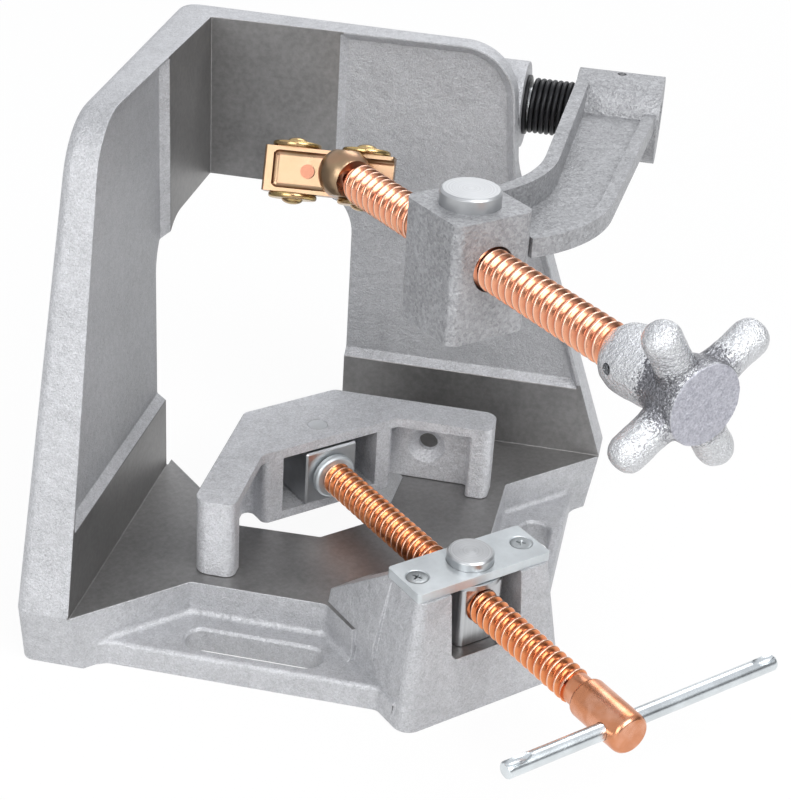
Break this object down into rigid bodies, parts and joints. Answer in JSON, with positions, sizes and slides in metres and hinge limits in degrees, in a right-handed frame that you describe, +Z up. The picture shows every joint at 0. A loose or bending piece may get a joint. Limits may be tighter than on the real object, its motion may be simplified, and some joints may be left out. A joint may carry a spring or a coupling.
{
  "type": "corner clamp",
  "caption": "Cast corner clamp: two upright walls at a right angle, a screw-fed V jaw on the floor and a swing arm whose screw carries a swivelling shoe.",
  "frame": {"origin": "on the base underside, directly below the swivel axis of the lower spindle nut", "axes": "+Z up out of the base, +Y from the screws towards the corner along the clamp's diagonal, +X to the side that carries the swing arm's pivot"},
  "size_m": [0.3172, 0.3518, 0.213],
  "materials": {
    "casting": "fine-grained cast surface with milled working faces",
    "zinc": "bright zinc plate",
    "machined": "machined steel, lightly oiled",
    "nut": "turned steel",
    "spindle": "copper-plated rolled thread",
    "shaft": "ground steel",
    "knob": "tumbled cast steel",
    "yellow_zinc": "yellow passivated zinc",
    "stud": "plain copper-coloured stud",
    "spring": "blackened spring steel"
  },
  "bodies": {
    "frame": {"frame_casting": "casting", "retaining_plate": "zinc", "plate_screws": "zinc", "arm_spring": "spring", "shaft_washer": "zinc"},
    "lower_nut": {"lower_spindle_nut": "nut"},
    "jaw_carriage": {"jaw_swivel_block": "machined", "lower_neck_pin": "machined", "thrust_collar": "zinc"},
    "lower_screw": {"lower_spindle": "spindle"},
    "t_bar": {"t_bar": "zinc"},
    "jaw": {"movable_jaw": "casting", "jaw_pivot_pin": "machined"},
    "arm": {"swing_arm": "casting", "arm_shaft": "shaft", "arm_roll_pin": "spring", "shaft_retaining_ring": "spring"},
    "upper_nut": {"upper_spindle_nut": "nut"},
    "knuckle": {"swivel_barrel": "machined", "upper_neck_pin": "machined"},
    "upper_screw": {"upper_spindle": "spindle", "star_knob": "knob", "knob_pin": "machined"},
    "shoe": {"shoe_body": "yellow_zinc", "shoe_stud": "stud", "shoe_rivet_left": "yellow_zinc", "shoe_rivet_right": "yellow_zinc", "shoe_disc_top_left": "yellow_zinc", "shoe_disc_top_right": "yellow_zinc", "shoe_disc_bottom_left": "yellow_zinc", "shoe_disc_bottom_right": "yellow_zinc"}
  },
  "joints": [
    {"name": "lower_nut_swivel", "type": "hinge", "parent": "frame", "child": "lower_nut", "pos_m": [0, 0, 0.043], "axis": [0, 0, 1], "range_deg": [-2, 2]},
    {"name": "jaw_feed", "type": "slide", "parent": "lower_nut", "child": "jaw_carriage", "axis": [0, 1, 0], "range_m": [-0.044, 0.044]},
    {"name": "lower_screw_turn", "type": "hinge", "parent": "jaw_carriage", "child": "lower_screw", "pos_m": [0, 0, 0.043], "axis": [0, 1, 0], "range_deg": [-3961, 3961]},
    {"name": "t_bar_slide", "type": "slide", "parent": "lower_screw", "child": "t_bar", "axis": [1, 0, 0], "range_m": [-0.056, 0.03]},
    {"name": "jaw_swivel", "type": "hinge", "parent": "jaw_carriage", "child": "jaw", "pos_m": [0, 0.114, 0.043], "axis": [0, 0, -1], "range_deg": [-2.5, 2.5]},
    {"name": "arm_swing", "type": "hinge", "parent": "frame", "child": "arm", "pos_m": [0.12459, 0.12779, 0.181], "axis": [-0.7071, 0.7071, 0], "range_deg": [0, 120]},
    {"name": "upper_nut_swivel", "type": "hinge", "parent": "arm", "child": "upper_nut", "pos_m": [0, 0.01825, 0.1807], "axis": [0, 0, 1], "range_deg": [-2, 2]},
    {"name": "shoe_feed", "type": "slide", "parent": "upper_nut", "child": "knuckle", "axis": [0, 1, 0], "range_m": [-0.044, 0.052]},
    {"name": "upper_screw_turn", "type": "hinge", "parent": "knuckle", "child": "upper_screw", "pos_m": [0, 0, 0.1807], "axis": [0, 1, 0], "range_deg": [-3961, 4681]},
    {"name": "shoe_swivel", "type": "hinge", "parent": "knuckle", "child": "shoe", "pos_m": [0, 0.1015, 0.1807], "axis": [0, 0, 1], "range_deg": [0, 28]}
  ],
  "couplings": [
    {"joint": "lower_screw_turn", "follows": "jaw_feed", "rad_per_m": 1570.8},
    {"joint": "upper_screw_turn", "follows": "shoe_feed", "rad_per_m": 1570.8}
  ]
}
